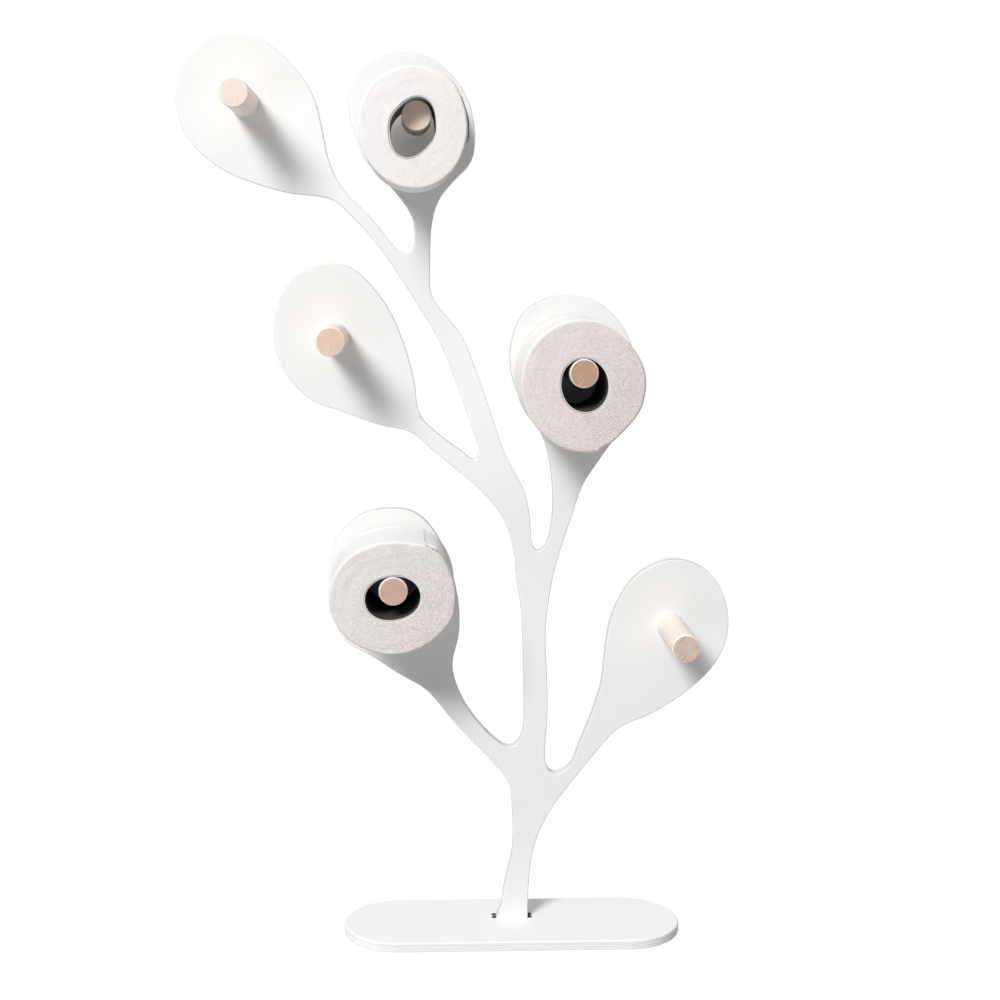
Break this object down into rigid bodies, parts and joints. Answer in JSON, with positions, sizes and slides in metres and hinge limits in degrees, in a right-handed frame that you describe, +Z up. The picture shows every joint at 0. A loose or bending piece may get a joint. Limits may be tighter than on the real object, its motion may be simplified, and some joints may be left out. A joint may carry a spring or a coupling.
{
  "type": "toilet roll holder",
  "caption": "Free-standing toilet roll holder: a white plywood tree in a round-ended base, with bare wooden pegs pointing forwards from its leaves and toilet rolls hanging on some of them.",
  "frame": {"origin": "middle of the base's underside", "axes": "+X to the viewer's right, +Y away from the viewer, the way the pegs don't point, +Z up"},
  "size_m": [0.5009, 0.1575, 0.82],
  "materials": {
    "painted_ply": "satin",
    "bare_wood": "matte",
    "screw_steel": "satin",
    "tube_card": "matte",
    "tissue": "matte"
  },
  "bodies": {
    "holder": {"tree_panel": "painted_ply", "base_plate": "painted_ply", "peg_top_left": "bare_wood", "peg_top_middle": "bare_wood", "peg_middle_left": "bare_wood", "peg_middle_right": "bare_wood", "peg_lower_left": "bare_wood", "peg_lower_right": "bare_wood", "peg_screws": "screw_steel"},
    "tube_top_middle": {"tube_top_middle": "tube_card", "inner_paper_top_middle": "tissue"},
    "tube_middle_right": {"tube_middle_right": "tube_card", "inner_paper_middle_right": "tissue"},
    "tube_lower_left": {"tube_lower_left": "tube_card", "inner_paper_lower_left": "tissue"},
    "roll_top_middle": {"roll_top_middle": "tissue"},
    "roll_middle_right": {"roll_middle_right": "tissue"},
    "roll_lower_left": {"roll_lower_left": "tissue"}
  },
  "joints": [
    {"name": "pull_off_top_middle", "type": "slide", "parent": "holder", "child": "tube_top_middle", "axis": [0, -1, 0], "range_m": [-0.0215, 0.075]},
    {"name": "spin_top_middle", "type": "hinge", "parent": "tube_top_middle", "child": "roll_top_middle", "pos_m": [-0.096, -0.0425, 0.73418], "axis": [0, -1, 0], "continuous": true},
    {"name": "pull_off_middle_right", "type": "slide", "parent": "holder", "child": "tube_middle_right", "axis": [0, -1, 0], "range_m": [-0.0015, 0.095]},
    {"name": "spin_middle_right", "type": "hinge", "parent": "tube_middle_right", "child": "roll_middle_right", "pos_m": [0.0507, -0.0425, 0.52296], "axis": [0, -1, 0], "continuous": true},
    {"name": "pull_off_lower_left", "type": "slide", "parent": "holder", "child": "tube_lower_left", "axis": [0, -1, 0], "range_m": [-0.0015, 0.095]},
    {"name": "spin_lower_left", "type": "hinge", "parent": "tube_lower_left", "child": "roll_lower_left", "pos_m": [-0.11244, -0.0425, 0.33817], "axis": [0, -1, 0], "continuous": true}
  ]
}
